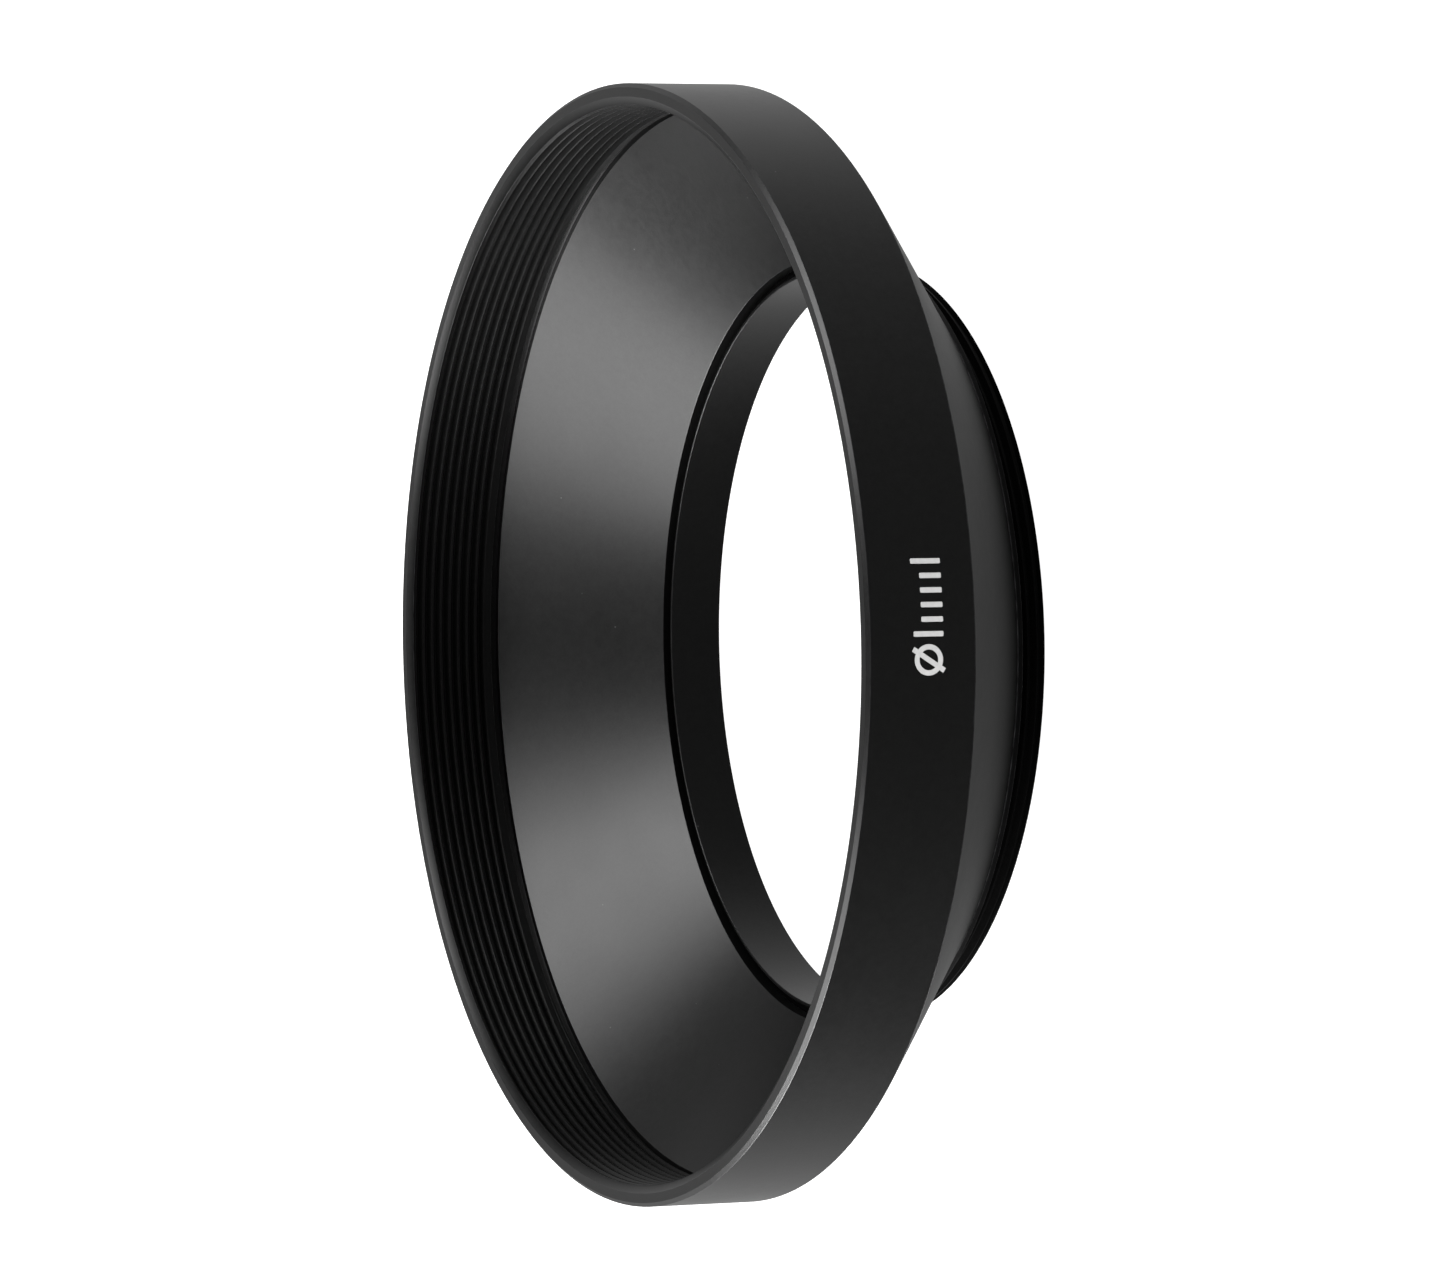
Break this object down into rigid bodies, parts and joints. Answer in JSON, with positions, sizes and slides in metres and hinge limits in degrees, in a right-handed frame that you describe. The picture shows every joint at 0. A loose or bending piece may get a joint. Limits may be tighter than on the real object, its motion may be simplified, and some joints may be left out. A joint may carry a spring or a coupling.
{
  "type": "lens hood",
  "caption": "Short flared screw-in lens hood in black anodised aluminium: threaded mount ring, conical shade wall and a cylindrical front band with an inner filter thread.",
  "frame": {"origin": "centre of the rear end face, on the optical axis", "axes": "+Z along the optical axis from the rear end to the open front; +X and +Y across, the printed mark on the band is on the -Y side"},
  "size_m": [0.0844, 0.0844, 0.0213],
  "materials": {
    "front_ring_black": "satin black anodised, fine turned grain, bright broken edges",
    "shade_black": "fine blasted and black anodised satin",
    "mount_black": "black anodised, smooth turned thread and bore",
    "white_print": "screen-printed matt white ink"
  },
  "bodies": {
    "root": {"front_ring": "front_ring_black", "shade_cone": "shade_black", "mount_ring": "mount_black"}
  },
  "joints": []
}
